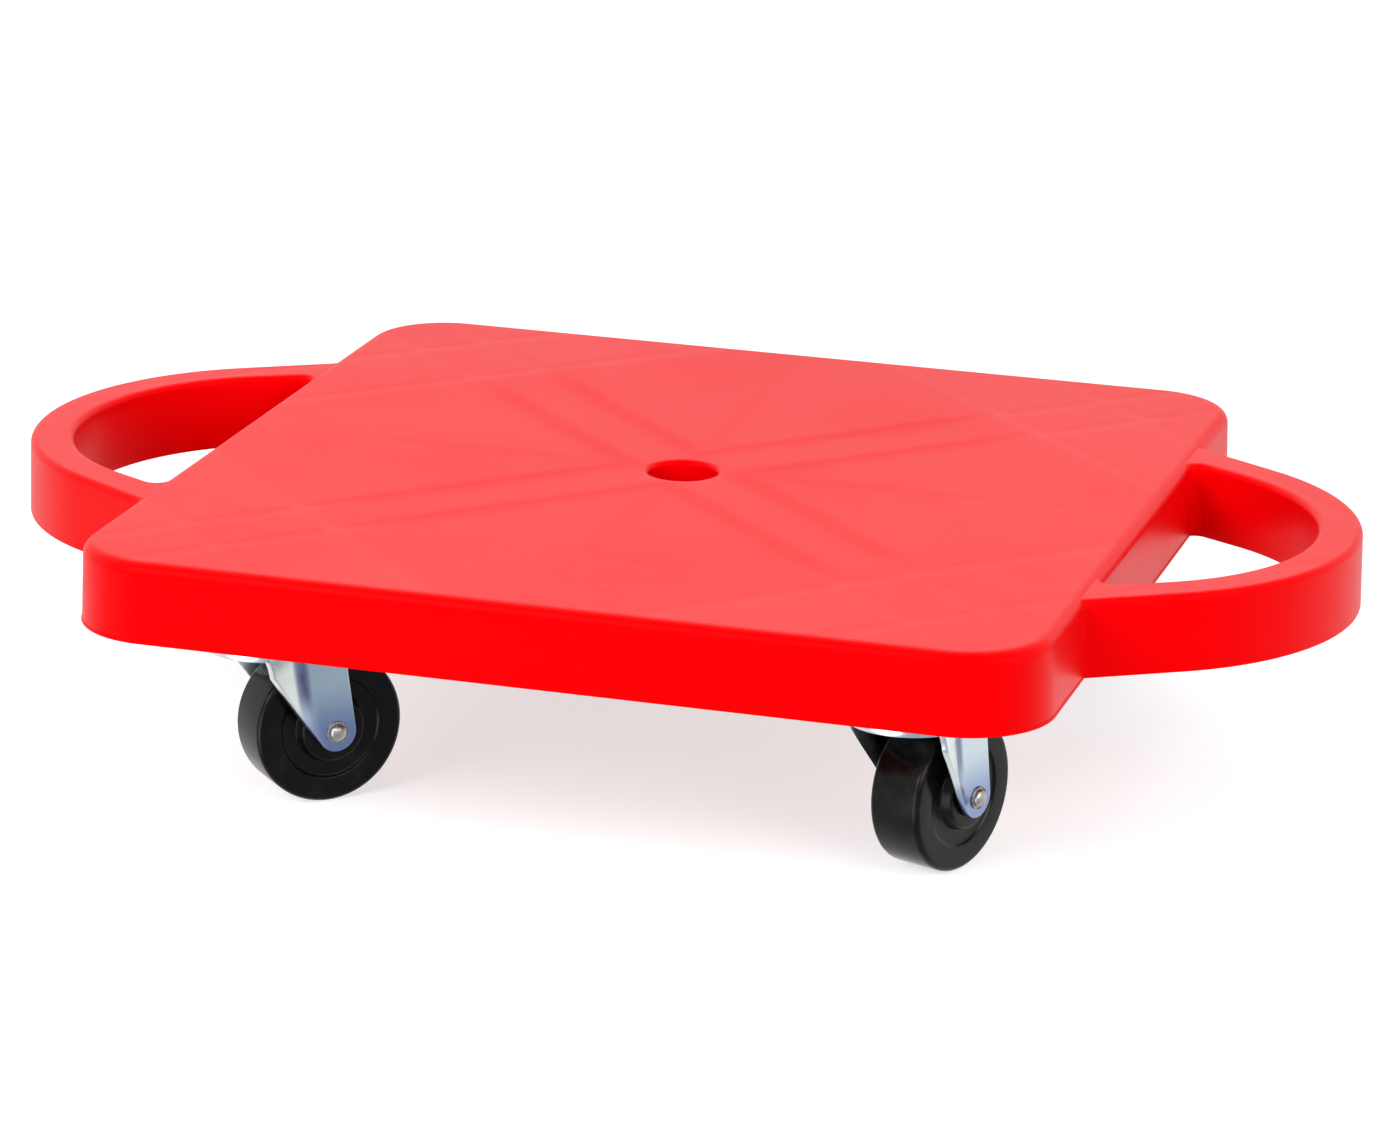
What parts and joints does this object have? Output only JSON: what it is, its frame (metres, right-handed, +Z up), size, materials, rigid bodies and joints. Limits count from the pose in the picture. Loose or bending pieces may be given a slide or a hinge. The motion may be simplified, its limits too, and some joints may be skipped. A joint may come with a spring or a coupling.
{
  "type": "scooter board",
  "caption": "Flat square gym scooter board: moulded ribbed deck with rounded corners, hand loops at both sides and a centre hole, carried by full-swivel casters.",
  "frame": {"origin": "on the floor under the middle of the deck, where the wheels stand", "axes": "+X to the right hand loop, +Y to the rear side of the deck, +Z up"},
  "size_m": [0.4306, 0.3, 0.0883],
  "materials": {
    "red_plastic": "fine grain, satin",
    "zinc_plate": "bright zinc plate with a blue cast",
    "bearing_steel": "hard and smooth, lightly greased",
    "rivet_steel": "peened, satin",
    "black_wheel": "satin hard rubber"
  },
  "bodies": {
    "deck_body": {"deck": "red_plastic", "front_left_mounting_plate": "zinc_plate", "front_left_kingpin": "zinc_plate", "front_left_lower_race": "bearing_steel", "front_left_ball_row": "bearing_steel", "front_left_screw_1": "zinc_plate", "front_left_screw_2": "zinc_plate", "front_left_screw_3": "zinc_plate", "front_left_screw_4": "zinc_plate", "front_right_mounting_plate": "zinc_plate", "front_right_kingpin": "zinc_plate", "front_right_lower_race": "bearing_steel", "front_right_ball_row": "bearing_steel", "front_right_screw_1": "zinc_plate", "front_right_screw_2": "zinc_plate", "front_right_screw_3": "zinc_plate", "front_right_screw_4": "zinc_plate", "rear_left_mounting_plate": "zinc_plate", "rear_left_kingpin": "zinc_plate", "rear_left_lower_race": "bearing_steel", "rear_left_ball_row": "bearing_steel", "rear_left_screw_1": "zinc_plate", "rear_left_screw_2": "zinc_plate", "rear_left_screw_3": "zinc_plate", "rear_left_screw_4": "zinc_plate", "rear_right_mounting_plate": "zinc_plate", "rear_right_kingpin": "zinc_plate", "rear_right_lower_race": "bearing_steel", "rear_right_ball_row": "bearing_steel", "rear_right_screw_1": "zinc_plate", "rear_right_screw_2": "zinc_plate", "rear_right_screw_3": "zinc_plate", "rear_right_screw_4": "zinc_plate"},
    "front_left_swivel_body": {"front_left_fork": "zinc_plate", "front_left_axle": "rivet_steel", "front_left_axle_sleeve": "bearing_steel"},
    "front_left_wheel_body": {"front_left_wheel": "black_wheel"},
    "front_right_swivel_body": {"front_right_fork": "zinc_plate", "front_right_axle": "rivet_steel", "front_right_axle_sleeve": "bearing_steel"},
    "front_right_wheel_body": {"front_right_wheel": "black_wheel"},
    "rear_left_swivel_body": {"rear_left_fork": "zinc_plate", "rear_left_axle": "rivet_steel", "rear_left_axle_sleeve": "bearing_steel"},
    "rear_left_wheel_body": {"rear_left_wheel": "black_wheel"},
    "rear_right_swivel_body": {"rear_right_fork": "zinc_plate", "rear_right_axle": "rivet_steel", "rear_right_axle_sleeve": "bearing_steel"},
    "rear_right_wheel_body": {"rear_right_wheel": "black_wheel"}
  },
  "joints": [
    {"name": "front_left_swivel", "type": "hinge", "parent": "deck_body", "child": "front_left_swivel_body", "pos_m": [-0.101, -0.1, 0.0555], "axis": [0, 0, 1], "continuous": true},
    {"name": "front_left_wheel_spin", "type": "hinge", "parent": "front_left_swivel_body", "child": "front_left_wheel_body", "pos_m": [-0.0889, -0.08806, 0.024], "axis": [0.7022, -0.712, 0], "continuous": true},
    {"name": "front_right_swivel", "type": "hinge", "parent": "deck_body", "child": "front_right_swivel_body", "pos_m": [0.101, -0.1, 0.0555], "axis": [0, 0, 1], "continuous": true},
    {"name": "front_right_wheel_spin", "type": "hinge", "parent": "front_right_swivel_body", "child": "front_right_wheel_body", "pos_m": [0.10715, -0.08415, 0.024], "axis": [0.9323, -0.3616, 0], "continuous": true},
    {"name": "rear_left_swivel", "type": "hinge", "parent": "deck_body", "child": "rear_left_swivel_body", "pos_m": [-0.101, 0.1, 0.0555], "axis": [0, 0, 1], "continuous": true},
    {"name": "rear_left_wheel_spin", "type": "hinge", "parent": "rear_left_swivel_body", "child": "rear_left_wheel_body", "pos_m": [-0.09302, 0.11501, 0.024], "axis": [0.8829, -0.4695, 0], "continuous": true},
    {"name": "rear_right_swivel", "type": "hinge", "parent": "deck_body", "child": "rear_right_swivel_body", "pos_m": [0.101, 0.1, 0.0555], "axis": [0, 0, 1], "continuous": true},
    {"name": "rear_right_wheel_spin", "type": "hinge", "parent": "rear_right_swivel_body", "child": "rear_right_wheel_body", "pos_m": [0.10569, 0.11634, 0.024], "axis": [0.9613, -0.2756, 0], "continuous": true}
  ]
}
